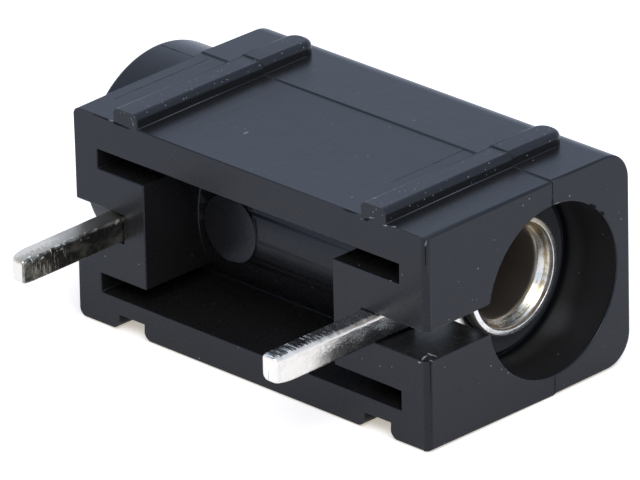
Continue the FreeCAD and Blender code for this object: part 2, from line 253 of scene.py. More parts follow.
@dataclass(frozen=True)
class MouldedPlastic:
    """Black moulded plastic: glossy and slightly wavy outside, duller in the recess, a little dusty."""

    name: str = "moulded_plastic"
    # Tones outside and in the recess, of painted reflection low on its wall, of painted light on its floor,
    # of a painted highlight on its wall, of painted shade in its corner, and of dust
    colour: Colour = (0.0088, 0.0079, 0.0075, 1.0)
    cloud_colour: Colour = (0.0112, 0.0101, 0.0096, 1.0)
    recess_colour: Colour = (0.0105, 0.0088, 0.0072, 1.0)
    reflection_band_colour: Colour = (0.026, 0.023, 0.021, 1.0)
    lit_floor_colour: Colour = (0.045, 0.043, 0.042, 1.0)
    highlight_colour: Colour = (0.055, 0.053, 0.05, 1.0)
    corner_shade_colour: Colour = (0.003, 0.003, 0.003, 1.0)
    dust_colour: Colour = (0.2, 0.2, 0.2, 1.0)
    sheen_tint: Colour = (0.76, 0.85, 1.0, 1.0)
    refraction: float = 1.38
    # Roughness, and what each pattern adds to it
    roughness: float = 0.25
    peel_roughness: float = 0.07
    mark_roughness: float = 0.08
    recess_roughness: float = 0.25
    dirt_roughness: float = 0.4
    # Heights of the relief's patterns
    cloud_height: float = 0.02
    peel_height: float = 0.0006
    mark_height: float = 0.0007
    dirt_height: float = 0.01
    # Reach of the recess's finish, and spans above its floor in which its tones change
    recess_start: float = -0.3
    recess_fade: float = 0.25
    recess_radius: float = 4.25
    corner_span: Pair = (0.02, 0.35)
    reflection_band_span: Pair = (0.5, 1.3)
    ring_radius: float = 3.75
    ring_blur: float = 0.1
    # Painted highlight on the recess's wall, and the height above which grime lies on the ribs
    highlight_centre: Triple = (-2.5, 2.6, -3.0)
    highlight_span: Pair = (0.1, 1.3)
    highlight_share: float = 0.4
    rib_foot: float = 5.24

    def over_floor(self, recipe: Recipe, span: Pair) -> Signal:
        """Smooth step along the plug axis, over a span above the recess's floor."""
        return recipe.axis(Axis.X).ramp(RECESS_FLOOR + span[0], RECESS_FLOOR + span[1])

    def build(self) -> bpy.types.Material:
        """Make the material.

        Returns:
            The material, with clouds, orange peel and drawn marks in its relief.
        """
        recipe = Recipe(self.name)
        cloud = recipe.noise((0.3, 0.3, 0.3), detail=3.0)
        peel = recipe.noise((5.0, 5.0, 5.0))
        marks = recipe.noise((9.0, 0.12, 9.0), detail=3.0)
        dust = recipe.specks((2.8, 2.8, 2.8), share=0.2, size=0.11)
        fibres = recipe.specks((1.4, 0.45, 2.6), share=0.06, size=0.1)
        grit = recipe.specks((5.5, 5.5, 5.5), share=0.6, size=0.2)
        grime = grit * recipe.axis(Axis.Z).above(self.rib_foot)
        dirt = 1.0 - (1.0 - dust) * (1.0 - fibres) * (1.0 - grime)
        mouth = recipe.axis(Axis.X).ramp(self.recess_start, self.recess_start + self.recess_fade)
        deep_end = recipe.axis(Axis.X).above(RECESS_FLOOR - self.recess_fade)
        inside = recipe.radius().below(self.recess_radius) * deep_end * (1.0 - mouth)
        # Painted shade in the recess's corner, close above its floor
        low = inside * (1.0 - self.over_floor(recipe, self.corner_span))
        # A band of painted reflection low on the recess's wall
        reflection_band = 1.0 - self.over_floor(recipe, self.reflection_band_span)
        # Painted light on the recess's floor, inside the ring's radius
        level = low * (1.0 - recipe.radius().ramp(self.ring_radius - self.ring_blur, self.ring_radius))
        # A painted highlight on the recess's wall, round a point and varied by the drawn marks
        highlit = inside * (1.0 - recipe.distance(self.highlight_centre).ramp(*self.highlight_span))
        outside = recipe.blend(cloud, self.colour, self.cloud_colour)
        lining = recipe.blend(reflection_band, self.recess_colour, self.reflection_band_colour)
        wall = recipe.blend(highlit * (self.highlight_share + marks), recipe.blend(inside, outside, lining),
                            self.highlight_colour)
        ground = recipe.blend(level, recipe.blend(low, wall, self.corner_shade_colour), self.lit_floor_colour)
        height = (self.cloud_height * cloud + self.peel_height * peel + self.mark_height * marks
                  + self.dirt_height * dirt)
        even = self.roughness + self.peel_roughness * peel + self.mark_roughness * (marks - 0.5)
        shader = recipe.node("ShaderNodeBsdfPrincipled", inputs={
            "Base Color": recipe.blend(dirt, ground, self.dust_colour),
            "Roughness": even + self.recess_roughness * inside + self.dirt_roughness * dirt,
            "IOR": self.refraction,
            "Specular Tint": self.sheen_tint,
            "Normal": recipe.relief(height),
        })
        return recipe.finish(shader)


@dataclass(frozen=True)
class ScrapAndShadePlastic:
    """Plastic without gloss, where it was torn or scraped, and in dark lines of painted shade."""

    name: str
    colour: Colour
    streak_colour: Colour
    refraction: float = 1.45
    roughness: float = 0.55
    grain_height: float = 0.01

    def build(self) -> bpy.types.Material:
        """Make the material.

        Returns:
            The material, streaked by one grain.
        """
        recipe = Recipe(self.name)
        grain = recipe.noise((7.0, 7.0, 7.0), detail=3.0)
        shader = recipe.node("ShaderNodeBsdfPrincipled", inputs={
            "Base Color": recipe.blend(grain.ramp(0.35, 0.65), self.colour, self.streak_colour),
            "Roughness": self.roughness,
            "IOR": self.refraction,
            "Normal": recipe.relief(self.grain_height * grain),
        })
        return recipe.finish(shader)


@dataclass(frozen=True)
class NickelPlate:
    """Bright nickel plate with fine turning marks, stained on the rim and brown in the bore."""

    name: str = "bright_nickel"
    # Tones of clean and stained plate, of the cone and its rings, of the counterbore's wall and the bore
    colour: Colour = (0.93, 0.91, 0.87, 1.0)
    stain_colour: Colour = (0.42, 0.34, 0.2, 1.0)
    cone_colour: Colour = (0.84, 0.8, 0.73, 1.0)
    ring_colour: Colour = (0.4, 0.31, 0.16, 1.0)
    wall_colour: Colour = (0.22, 0.17, 0.1, 1.0)
    bore_colour: Colour = (0.6, 0.53, 0.46, 1.0)
    # Roughness, and what each zone adds to it
    roughness: float = 0.2
    tarnish_roughness: float = 0.1
    cone_roughness: float = 0.07
    bore_roughness: float = 0.18
    wall_roughness: float = 0.25
    # Heights of the relief's patterns
    turning_height: float = 0.0012
    stain_height: float = 0.002
    rim_height: float = 0.01
    # Places along the plug axis at which the zones change
    bore_start: float = -2.9
    bore_fade: float = 0.25
    bore_radius: float = 2.15
    rim_start: float = -2.52
    rim_blur: float = 0.02
    wall_end: float = -2.32
    wall_blur: float = 0.03
    # Heights between which the upper side turns darker and browner, and the shares of that and of stains
    upper_span: Pair = (0.6, 2.0)
    upper_browning: float = 0.7
    spot_tarnish: float = 0.3
    wall_stain: float = 0.35
    wall_dullness: float = 0.7

    def build(self) -> bpy.types.Material:
        """Make the material.

        Returns:
            The material, whose rim, wall, cone and bore are told apart by their places.
        """
        recipe = Recipe(self.name)
        stain = recipe.noise((2.2, 2.2, 2.2), detail=4.0, rough=0.65)
        turning = recipe.noise((22.0, 0.2, 0.2))
        rings = recipe.noise((7.0, 0.5, 0.5), detail=4.0, rough=0.6)
        past_bore = recipe.axis(Axis.X).ramp(self.bore_start - self.bore_fade, self.bore_start)
        inside = recipe.radius().below(self.bore_radius) * (1.0 - past_bore)
        rim = recipe.axis(Axis.X).ramp(self.rim_start - self.rim_blur, self.rim_start + self.rim_blur)
        cone = (1.0 - rim) * (1.0 - inside)
        bright = recipe.axis(Axis.X).ramp(self.wall_end - self.wall_blur, self.wall_end)
        upper = recipe.axis(Axis.Z).ramp(*self.upper_span)
        tarnish = (stain.ramp(0.5, 0.68) * self.spot_tarnish + upper * self.upper_browning) * rim
        banded = (rings * 0.6 + stain * 0.4 + upper * 0.12).ramp(0.45, 0.6)
        wall = rim * (1.0 - bright)
        plate = recipe.blend(tarnish, self.colour, self.stain_colour)
        cream = recipe.blend(cone, plate, recipe.blend(banded, self.cone_colour, self.ring_colour))
        worn = recipe.blend(wall * (self.wall_stain + stain), cream, self.wall_colour)
        even = self.roughness + self.tarnish_roughness * tarnish + self.cone_roughness * cone
        height = self.turning_height * turning + (self.stain_height + self.rim_height * rim) * stain
        shader = recipe.node("ShaderNodeBsdfPrincipled", inputs={
            "Base Color": recipe.blend(inside, worn, self.bore_colour),
            "Metallic": 1.0 - self.wall_dullness * wall,
            "Roughness": even + self.bore_roughness * inside + self.wall_roughness * wall,
            "Normal": recipe.relief(height),
        })
        return recipe.finish(shader)


@dataclass(frozen=True)
class TinPlate:
    """Tin plate of a sheared pin: smooth where it was rolled, streaked and dark where it was cut.

    The cut face is beyond a place on the cut's axis; on the front pin it gets painted light near the block.
    The rolled faces have a painted shade low down and near the block, and a band of another tone along
    their top; on the front pin that band is rougher, spared by the shade, and warms the highlight strip.
    """

    name: str
    cut_axis: Axis
    cut_from: float
    cut_colour: Colour
    # Streaks that the cut left, how sharp they are, and how many remain near the block
    streak_share: float
    streak_blur: float
    streak_level: float = 0.52
    inner_streaks: float = 0.15
    # Share of each finish: none where zero
    shade_share: float = 0.9
    glint_share: float = 0.0
    edge_share: float = 0.0
    grain_share: float = 0.0
    painted_light_share: float = 0.0
    # Places at which they end
    shade_height: float = 0.15
    shade_blur: float = 0.3
    shade_end: float = BOARD_FACE
    glint_height: float = 0.42
    glint_reach: float = 0.12
    upper_span: Pair = (-0.1, 0.08)
    worn_from: float = -10.5
    worn_fade: float = 1.5
    cut_span: Pair = (-0.03, 0.01)
    grain_reach: float = 0.8
    # Tones of the rolled faces, of their shade, of glints, of the top's edge, of grain and of the cut
    # face's painted light
    colour: Colour = (0.94, 0.9, 0.81, 1.0)
    dull_colour: Colour = (0.78, 0.75, 0.68, 1.0)
    shade_colour: Colour = (0.16, 0.155, 0.145, 1.0)
    glint_colour: Colour = (1.0, 0.94, 0.8, 1.0)
    top_colour: Colour = (1.0, 0.9, 0.77, 1.0)
    grain_colour: Colour = (0.4, 0.35, 0.27, 1.0)
    painted_light_colour: Colour = (0.72, 0.68, 0.62, 1.0)
    # Roughness, and what each pattern adds to it
    roughness: float = 0.22
    dull_roughness: float = 0.14
    grain_roughness: float = 0.06
    edge_roughness: float = 0.14
    # Heights of the relief's patterns
    grain_height: float = 0.003
    scratch_height: float = 0.003
    streak_height: float = 0.03
    glint_lift: float = 0.03

    def build(self) -> bpy.types.Material:
        """Make the material.

        Returns:
            The material, with the cut face's streaks in its relief.
        """
        recipe = Recipe(self.name)
        patches = recipe.noise((1.6, 0.9, 1.6), detail=4.0, rough=0.65)
        grains = recipe.noise((12.0, 12.0, 12.0), detail=3.0, rough=0.7)
        scratches = recipe.noise((14.0, 1.0, 14.0))
        streaks = recipe.noise((1.2, 6.0, 1.2), detail=3.0, rough=0.6, turn=(35.0, 0.0, 35.0))
        cut = recipe.axis(self.cut_axis).ramp(self.cut_from + self.cut_span[0],
                                              self.cut_from + self.cut_span[1])
        outer = 1.0 - recipe.axis(Axis.Y).ramp(self.worn_from - self.worn_fade, self.worn_from)
        dull = (patches * 0.7 + grains * 0.3).ramp(0.5, 0.7)
        ridges = (streaks.ramp(self.streak_level, self.streak_level + self.streak_blur) * self.streak_share
                  * (self.inner_streaks + (1.0 - self.inner_streaks) * outer))
        ragged = recipe.axis(Axis.Z) + (grains - 0.5) * 1.1 + (patches - 0.5) * 0.9
        shaded = ((1.0 - ragged.ramp(self.shade_height - self.shade_blur, self.shade_height))
                  * (1.0 - outer) * recipe.axis(Axis.Y).below(self.shade_end))
        ledge = recipe.axis(Axis.Z).ramp(self.glint_height - self.glint_reach, self.glint_height)
        beaded = ledge * recipe.axis(self.cut_axis).above(self.cut_from - self.glint_reach)
        glints = recipe.specks((6.0, 5.0, 6.0), share=self.glint_share, size=0.55) * beaded
        top = recipe.axis(Axis.Z).ramp(self.glint_height + self.upper_span[0],
                                       self.glint_height + self.upper_span[1])
        upper = top * (1.0 - cut)
        edge = upper * self.edge_share
        near_cut = recipe.axis(self.cut_axis).ramp(self.cut_from - self.grain_reach, self.cut_from)
        grain = (grains + near_cut * 0.3).ramp(0.55, 0.75) * self.grain_share
        clean = recipe.blend(upper, recipe.blend(dull * 0.5, self.colour, self.dull_colour),
                             self.top_colour)
        rolled = recipe.blend(shaded * self.shade_share * (1.0 - edge),
                              recipe.blend(grain * upper, clean, self.grain_colour), self.shade_colour)
        cloudy = recipe.blend(patches.ramp(0.42, 0.6) * 0.8, self.cut_colour, self.shade_colour)
        # Painted light on the cut face near the block, standing in for a brighter reflection
        lit_cut = recipe.blend((1.0 - outer) * self.painted_light_share, cloudy, self.painted_light_colour)
        torn = recipe.blend(ridges, lit_cut, self.colour)
        height = (self.grain_height * grains + self.scratch_height * scratches
                  + self.streak_height * cut * ridges + self.glint_lift * glints)
        worn = self.dull_roughness * dull + self.grain_roughness * grains + self.edge_roughness * edge
        shader = recipe.node("ShaderNodeBsdfPrincipled", inputs={
            "Base Color": recipe.blend(glints, recipe.blend(cut, rolled, torn), self.glint_colour),
            "Metallic": 1.0,
            "Roughness": self.roughness + worn,
            "Normal": recipe.relief(height),
        })
        return recipe.finish(shader)


@dataclass(frozen=True)
class PaleCard:
    """Matt white card of the floor, which stays white in the picture away from the shadow."""

    name: str = "pale_card"
    colour: Colour = (0.9, 0.86, 0.84, 1.0)
    far_colour: Colour = (0.88, 0.84, 0.82, 1.0)
    lift_colour: Colour = (1.0, 0.92, 0.78, 1.0)
    lift: float = 0.45
    mirrored_lift: float = 0.2

    def build(self) -> bpy.types.Material:
        """Make the material.

        Returns:
            The material, which glows a little for the camera and for mirrors.
        """
        recipe = Recipe(self.name)
        tone = recipe.noise((0.01, 0.01, 0.01))
        card = recipe.node("ShaderNodeBsdfDiffuse", inputs={
            "Color": recipe.blend(tone, self.colour, self.far_colour),
        })
        seen = recipe.node("ShaderNodeLightPath", output="Is Camera Ray")
        mirrored = recipe.node("ShaderNodeLightPath", output="Is Glossy Ray")
        glow = recipe.node("ShaderNodeEmission", inputs={
            "Color": self.lift_colour,
            "Strength": seen * self.lift + mirrored * self.mirrored_lift,
        })
        return recipe.finish(recipe.node("ShaderNodeAddShader", inputs={0: card, 1: glow}))


def lattice_noise(seed: int, across: Array, along: Array) -> Array:
    """Smooth random field between -1 and 1.

    Random heights stand on the whole numbers of two coordinates. Between four of them the height is their
    mean, weighted by the smooth step (3 f f - 2 f f f) of each coordinate's fraction f.

    Args:
        seed: Start of the random heights.
        across: First coordinate of each point.
        along: Second coordinate of each point.

    Returns:
        The height at each point.
    """
    size = 97
    heights = np.random.default_rng(seed).uniform(-1.0, 1.0, (size, size))
    cell_a, cell_b = np.floor(across).astype(int), np.floor(along).astype(int)
    part_a, part_b = across - cell_a, along - cell_b
    weight_a = part_a * part_a * (3.0 - 2.0 * part_a)
    weight_b = part_b * part_b * (3.0 - 2.0 * part_b)

    def corner(step_a: int, step_b: int) -> Array:
        """Height at one corner of each point's cell."""
        return heights[(cell_a + step_a) % size, (cell_b + step_b) % size]

    low = corner(0, 0) * (1.0 - weight_a) + corner(1, 0) * weight_a
    high = corner(0, 1) * (1.0 - weight_a) + corner(1, 1) * weight_a
    return low * (1.0 - weight_b) + high * weight_b


def arc(centre_a: float, centre_b: float, radius: float, start: float, end: float, count: int) -> Array:
    """Points of an arc in a plane, from one angle to another in degrees, as rows of two numbers."""
    angle = np.radians(np.linspace(start, end, count))
    return np.stack([centre_a + radius * np.cos(angle), centre_b + radius * np.sin(angle)], axis=1)


def enclosed_volume(points: Array, triangles: Array) -> float:
    """Signed volume of a closed mesh: the sum of a . (b x c) / 6 over its triangles."""
    a, b, c = (points[triangles[:, i]] for i in range(3))
    return float(np.einsum("ij,ij->i", a, np.cross(b, c)).sum() / 6.0)


def skin(name: str, grid: Array, wrap_rows: bool = False) -> bpy.types.Mesh:
    """Make a closed mesh over a grid of points whose every row is a closed loop.

    Each four neighbours make a face. The rows at both ends are closed by a fan about their mean, or the
    last row is joined to the first. Faces are turned so that the enclosed volume is positive.

    Args:
        name: Name of the mesh.
        grid: Points in millimetres, as rows, columns and coordinates.
        wrap_rows: Whether the last row meets the first.

    Returns:
        The mesh, in metres.
    """
    rows, columns = grid.shape[:2]
    points = grid.reshape(-1, 3)
    row, column = np.meshgrid(np.arange(rows if wrap_rows else rows - 1), np.arange(columns),
                              indexing="ij")
    after, beside = (row + 1) % rows, (column + 1) % columns
    quads = np.stack([row * columns + column, row * columns + beside,
                      after * columns + beside, after * columns + column], axis=-1).reshape(-1, 4)
    fans = np.empty((0, 3), int)
    if not wrap_rows:
        step = np.arange(columns)
        following = (step + 1) % columns
        last = (rows - 1) * columns
        first_middle, last_middle = len(points), len(points) + 1
        points = np.vstack([points, grid[0].mean(axis=0), grid[-1].mean(axis=0)])
        fans = np.vstack([
            np.stack([following, step, np.full(columns, first_middle)], axis=1),
            np.stack([last + step, last + following, np.full(columns, last_middle)], axis=1),
        ])
    halves = np.vstack([quads[:, [0, 1, 2]], quads[:, [0, 2, 3]], fans])
    if enclosed_volume(points, halves) < 0.0:
        quads, fans = quads[:, ::-1], fans[:, ::-1]
    mesh = bpy.data.meshes.new(name)
    mesh.from_pydata((points * MM).tolist(), [], quads.tolist() + fans.tolist())
    mesh.update()
    return mesh


def add_piece(name: str, mesh: bpy.types.Mesh, material: bpy.types.Material) -> bpy.types.Object:
    """Put a mesh into the scene as a piece of the part, shaded smooth.

    Args:
        name: Name of the piece.
        mesh: Its mesh, in place.
        material: Its finish.

    Returns:
        The new object, riding the part's body.
    """
    mesh.polygons.foreach_set("use_smooth", np.full(len(mesh.polygons), True))
    mesh.materials.clear()
    mesh.materials.append(material)
    piece = bpy.data.objects.new(name, mesh)
    bpy.context.scene.collection.objects.link(piece)
    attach(piece, BODY)
    LOG.info("%s: %d faces", name, len(mesh.polygons))
    return piece


def joined(name: str, meshes: list[bpy.types.Mesh]) -> bpy.types.Mesh:
    """Put several meshes into one.

    Args:
        name: Name of the new mesh.
        meshes: The meshes, which are removed.

    Returns:
        The new mesh.
    """
    pool = bmesh.new()
    for mesh in meshes:
        pool.from_mesh(mesh)
        bpy.data.meshes.remove(mesh)
    whole = bpy.data.meshes.new(name)
    pool.to_mesh(whole)
    pool.free()
    return whole


@dataclass
class Ridge:
    """Thin line of moulding flash, a scrap of it, or a dark line of painted shade, that stands on a face.

    It runs from start to end, and outward is the direction in which it stands out of the face.
    """

    start: Triple
    end: Triple
    outward: Triple
    # Its section, how deep its foot is sunk into the face, and how far its middle arches off it
    width: float = 0.05
    height: float = 0.03
    sink: float = 0.02
    arch: float = 0.0
    # Share by which its size swells, share of that by which it wanders, and how many waves it has
    unevenness: float = 0.4
    wander: float = 0.3
    waves_per_mm: float = 2.5
    fewest_waves: float = 4.0
    # Share of its size that is left at both ends
    end_size: float = 0.15
    seed: int = 1
    wander_seed: int = 50
    stations: int = 90
    points_round: int = 10

    def build(self, name: str) -> bpy.types.Mesh:
        """Carry a half-round profile along the line.

        At distance s along the line the profile is (width / 2) cos a across it and height sin a out of
        the face, for a from 0 to 180 degrees, closed by a flat foot that is sunk into the face. Width and
        height swell and shrink with lattice noise in s, and fade out over a length of two widths at both
        ends. An arch lifts the line's middle off the face by half a sine wave.

        Args:
            name: Name of the mesh.

        Returns:
            The mesh, in place.
        """
        start, end, outward = (np.array(item) for item in (self.start, self.end, self.outward))
        run = end - start
        length = float(np.linalg.norm(run))
        across = np.cross(run / length, outward)
        share = np.linspace(0.0, 1.0, self.stations)
        waves = share * max(length * self.waves_per_mm, self.fewest_waves)
        swell = 1.0 + self.unevenness * lattice_noise(self.seed, waves, share * 0.0)
        wander = (self.wander * self.unevenness * self.width
                  * lattice_noise(self.seed + self.wander_seed, waves, share * 0.0))
        fade = np.clip(np.minimum(share, 1.0 - share) * length / (2.0 * self.width), self.end_size, 1.0)
        angle = np.linspace(0.0, math.pi, self.points_round)
        side = np.concatenate([[1.0], np.cos(angle), [-1.0]]) * self.width / 2.0
        lift = np.concatenate([[-self.sink], np.sin(angle) * self.height, [-self.sink]])
        lift_scale = np.where(lift[None, :] > 0.0, (swell * fade)[:, None], 1.0)
        middle = (start + share[:, None] * run + wander[:, None] * across
                  + (self.arch * np.sin(math.pi * share))[:, None] * outward)
        grid = (middle[:, None, :] + (side[None, :] * (swell * fade)[:, None])[..., None] * across
                + (lift[None, :] * lift_scale)[..., None] * outward)
        return skin(name, grid)


@dataclass
class FaceTable:
    """Faces, edges and corners of a mesh as arrays, in millimetres."""

    mesh: bpy.types.Mesh

    def __post_init__(self) -> None:
        """Read the mesh's points, faces, edges and the corners in which they meet."""
        mesh = self.mesh
        self.points = self.read(mesh.vertices, "co", 3) / MM
        self.normals = self.read(mesh.polygons, "normal", 3)
        self.centres = self.read(mesh.polygons, "center", 3) / MM
        self.areas = self.read(mesh.polygons, "area", 1)[:, 0] / MM ** 2
        self.edges = self.read(mesh.edges, "vertices", 2, np.int32)
        self.corner_point = self.read(mesh.loops, "vertex_index", 1, np.int32)[:, 0]
        self.corner_edge = self.read(mesh.loops, "edge_index", 1, np.int32)[:, 0]
        totals = self.read(mesh.polygons, "loop_total", 1, np.int32)[:, 0]
        self.corner_face = np.repeat(np.arange(len(totals)), totals)

    @staticmethod
    def read(items: Any, name: str, width: int, kind: type = np.float32) -> Array:
        """Read one property of all items.

        Args:
            items: The mesh's points, edges, faces or corners.
            name: The property.
            width: Numbers that an item has.
            kind: Type in which the mesh keeps them.

        Returns:
            A row of numbers for each item.
        """
        values = np.empty(len(items) * width, kind)
        items.foreach_get(name, values)
        return values.reshape(-1, width) if kind is np.int32 else values.reshape(-1, width).astype(float)

    def touching(self, faces: Array) -> Array:
        """Find the points of some faces.

        Args:
            faces: Mark of each face.

        Returns:
            Mark of each point, true where it belongs to any marked face.
        """
        marked = np.zeros(len(self.points), bool)
        marked[self.corner_point[faces[self.corner_face]]] = True
        return marked

    def slope_step(self, shift: float) -> None:
        """Lean the parting line's step, by moving its board side towards the board.

        The step's faces lie in the plane y = 0 and look along Y. The faces on its board side look mostly
        up or down.

        Args:
            shift: How far that side moves.
        """
        near, away = 0.005, -0.01
        step = (np.abs(self.centres[:, 1]) < near) & (np.abs(self.normals[:, 1]) > 0.9)
        board_side = (self.centres[:, 1] < away) & (np.abs(self.normals[:, 2]) > 0.3)
        moved = self.touching(step) & self.touching(board_side)
        self.points[moved, 1] -= shift

    def write_points(self) -> None:
        """Give the moved points to the mesh."""
        self.mesh.vertices.foreach_set("co", (self.points * MM).astype(np.float32).ravel())
        self.mesh.update()

    def weigh_edges(self, sharp_angle: float, narrowest: float) -> None:
        """Weigh the edges to round: two broad faces meet there at more than the sharp angle.

        The breadth of a face is twice its area over its outline's length.

        Args:
            sharp_angle: Least angle between two faces, in degrees.
            narrowest: Least breadth of both faces.
        """
        spans = np.linalg.norm(self.points[self.edges[:, 0]] - self.points[self.edges[:, 1]], axis=1)
        outline = np.bincount(self.corner_face, weights=spans[self.corner_edge])
        breadth = 2.0 * self.areas / outline
        pairs = self.corner_face[np.argsort(self.corner_edge, kind="stable")].reshape(-1, 2)
        bend = np.einsum("ij,ij->i", self.normals[pairs[:, 0]], self.normals[pairs[:, 1]])
        wanted = (bend < math.cos(math.radians(sharp_angle))) & (breadth[pairs].min(axis=1) > narrowest)
        weights = self.mesh.attributes.new("bevel_weight_edge", "FLOAT", "EDGE")
        weights.data.foreach_set("value", wanted.astype(np.float32))


@dataclass
class Housing:
    """Moulded housing with the marks that the mould leaves on it, and dark lines of painted shade."""

    finish: MouldedPlastic = MouldedPlastic()
    pale_scrap: ScrapAndShadePlastic = ScrapAndShadePlastic("pale_scrap", colour=(0.1, 0.1, 0.11, 1.0),
                                          streak_colour=(0.2, 0.2, 0.2, 1.0))
    # Near-black plastic that reflects little, for the dark lines of painted shade
    painted_shade: ScrapAndShadePlastic = ScrapAndShadePlastic("painted_shade", colour=(0.004, 0.004, 0.004, 1.0),
                                          streak_colour=(0.008, 0.008, 0.008, 1.0), refraction=1.12)
    node: str = "housing"
    # Narrow bevel of the edges, and which edges get it
    edge_width: float = 0.05
    edge_segments: int = 2
    narrowest_face: float = 0.11
    sharp_angle: float = 28.0
    flat_angle: float = 0.5
    merge_distance: float = 0.0001
    # Roundings of the solid that grow here, and by how much
    mouth_rounding: float = 0.1
    mouth_growth: float = 3.0
    lip_radius: float = 0.3
    lip_growth: float = 0.14
    back_rounding: float = 0.18
    back_growth: float = 1.1
    pick_slack: float = 0.002
    seam_slack: float = 0.003
    # Walls of the two grooves along X, the left and the right one of each
    groove_walls: tuple[float, ...] = (-18.825, -17.275, -3.825, -2.275)
    # Lean of the parting line's step, and place and width of the flash on it
    seam_slope: float = 0.045
    seam_flash: float = 0.03
    flash_width: float = 0.06
    # Places and sizes of the block
    board: float = BOARD_FACE
    back: float = -21.3
    boss_end: float = -24.1
    boss_radius: float = 4.775
    top_at_board: float = 5.08
    bottom_at_board: float = -4.92
    taper: float = math.tan(math.radians(0.4))
    recess_radius: float = 4.0

    def top(self, y: float) -> float:
        """Height of the board half's upper face at a place across the board."""
        return self.top_at_board + (y - self.board) * self.taper

    def bottom(self, y: float) -> float:
        """Height of the board half's lower face at a place across the board."""
        return self.bottom_at_board - (y - self.board) * self.taper

    def shell_mesh(self) -> bpy.types.Mesh:
        """Copy the solid's mesh, merged, with its flat faces whole again and its edges weighed.

        Returns:
            The mesh with its roundings widened, in place.
        """
        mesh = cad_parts[self.node].data.copy()
        shape = bmesh.new()
        shape.from_mesh(mesh)
        bmesh.ops.remove_doubles(shape, verts=shape.verts, dist=self.merge_distance * MM)
        bmesh.ops.dissolve_limit(shape, angle_limit=math.radians(self.flat_angle), verts=shape.verts,
                                 edges=shape.edges)
        shape.to_mesh(mesh)
        shape.free()
        table = FaceTable(mesh)
        table.slope_step(self.seam_slope)
        self.round_lips(table)
        self.round_mouth_edge(table)
        self.round_back_corners(table)
        table.write_points()
        table.weigh_edges(self.sharp_angle, self.narrowest_face)
        mesh.set_sharp_from_angle(angle=math.radians(self.sharp_angle))
        return mesh

    def round_lips(self, table: FaceTable) -> None:
        """Widen the rounded lips of the grooves towards the board face.

        At depth y a lip's quarter circle gets the radius r + g y / b, with the growth g and the board face
        at b, and touches the sloping lower face. A point keeps its share of the turn.

        Args:
            table: The housing's mesh, whose points are moved.
        """
        x, y, z = table.points.T
        for number, wall in enumerate(self.groove_walls):
            side = -1.0 if number % 2 == 0 else 1.0
            out = (x - wall) * side
            lip = ((out > -self.pick_slack) & (out < self.lip_radius + self.pick_slack)
                   & (y < -self.seam_slack) & (z < self.bottom(0.0) + self.lip_radius + self.pick_slack))
            rise = self.bottom(y[lip]) - self.bottom(0.0)
            full = np.arctan2(self.lip_radius - out[lip], self.bottom(0.0) + self.lip_radius - z[lip])
            first = np.arccos(1.0 - np.clip(rise / self.lip_radius, 0.0, 1.0))
            turn = np.clip((full - first) / (math.pi / 2.0 - first), 0.0, 1.0) * math.pi / 2.0
            radius = self.lip_radius + self.lip_growth * y[lip] / self.board
            table.points[lip, 0] = wall + side * radius * (1.0 - np.sin(turn))
            table.points[lip, 2] = self.bottom(y[lip]) + radius * (1.0 - np.cos(turn))

    def round_mouth_edge(self, table: FaceTable) -> None:
        """Widen the rounding between the board face and the mouth, by stretching it from its corner.

        Args:
            table: The housing's mesh, whose points are moved.
        """
        x, y = table.points[:, 0], table.points[:, 1] - self.board
        reach = self.mouth_rounding + self.pick_slack
        near = (x > -reach) & (y < reach)
        table.points[near, 0] = x[near] * self.mouth_growth
        table.points[near, 1] = self.board + y[near] * self.mouth_growth

    def round_back_corners(self, table: FaceTable) -> None:
        """Widen the roundings above and below the back towards the board face, from their corners.

        At depth y a point is moved away from its corner by the factor 1 + g y / b, with the growth g and
        the board face at b.

        Args:
            table: The housing's mesh, whose points are moved.
        """
        x, y, z = table.points.T
        reach = self.back_rounding + self.pick_slack
        for level in (self.top(y), self.bottom(y)):
            near = ((x > self.back - self.pick_slack) & (x < self.back + reach)
                    & (np.abs(z - level) < reach) & (y < -self.seam_slack))
            growth = 1.0 + self.back_growth * y[near] / self.board
            table.points[near, 0] = self.back + (x[near] - self.back) * growth
            table.points[near, 2] = level[near] + (z[near] - level[near]) * growth

    def build_shell(self, material: bpy.types.Material) -> bpy.types.Object:
        """Dress the housing with narrow rounded edges.

        Args:
            material: The moulded plastic.

        Returns:
            The shell, which stands for the solid.
        """
        mesh = self.shell_mesh()
        mesh.name = "housing_shell"
        piece = add_piece("housing_shell", mesh, material)
        edge = piece.modifiers.new("narrow_edges", "BEVEL")
        edge.width = self.edge_width * MM
        edge.segments = self.edge_segments
        edge.limit_method = "WEIGHT"
        edge.use_clamp_overlap = False
        shading = piece.modifiers.new("even_faces", "WEIGHTED_NORMAL")
        shading.mode = "FACE_AREA"
        shading.weight = 100
        shading.keep_sharp = True
        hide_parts(self.node)
        return piece

    def seam_ridges(self) -> list[Ridge]:
        """Flash along the mould's parting line: on the mouth, on the round end and on the upper face.

        Returns:
            The lines of flash.
        """
        seam, top, bottom = self.seam_flash, self.top(0.0), self.bottom(0.0) + 0.08
        mouth = {"outward": (1, 0, 0)}
        ends = [Ridge((self.boss_end + 0.3, 0.0, side * self.boss_radius),
                      (self.back, 0.0, side * self.boss_radius), (0, 0, side), height=0.015, seed=seed)
                for side, seed in ((1, 5), (-1, 6))]
        return [
            Ridge((0.0, seam, self.recess_radius), (0.0, seam, top), seed=3, **mouth),
            Ridge((0.0, seam, bottom), (0.0, seam, -self.recess_radius), seed=4, **mouth),
            *ends,
            Ridge((-15.2, 0.05, top), (-5.9, 0.05, top), (0, 0, 1), width=self.flash_width, height=0.02,
                  seed=9),
        ]

    def insert_ridges(self) -> list[Ridge]:
        """Faint lines on the upper face where the mould's inserts meet.

        Returns:
            A line for each place along X, from one place along Y to another.
        """
        return [Ridge((x, first, self.top(first)), (x, last, self.top(last)), (0, 0, 1), width=0.05,
                      height=0.012, seed=seed)
                for x, first, last, seed in ((-20.49, -6.2, -0.3, 7), (-5.17, -4.5, -0.1, 8))]

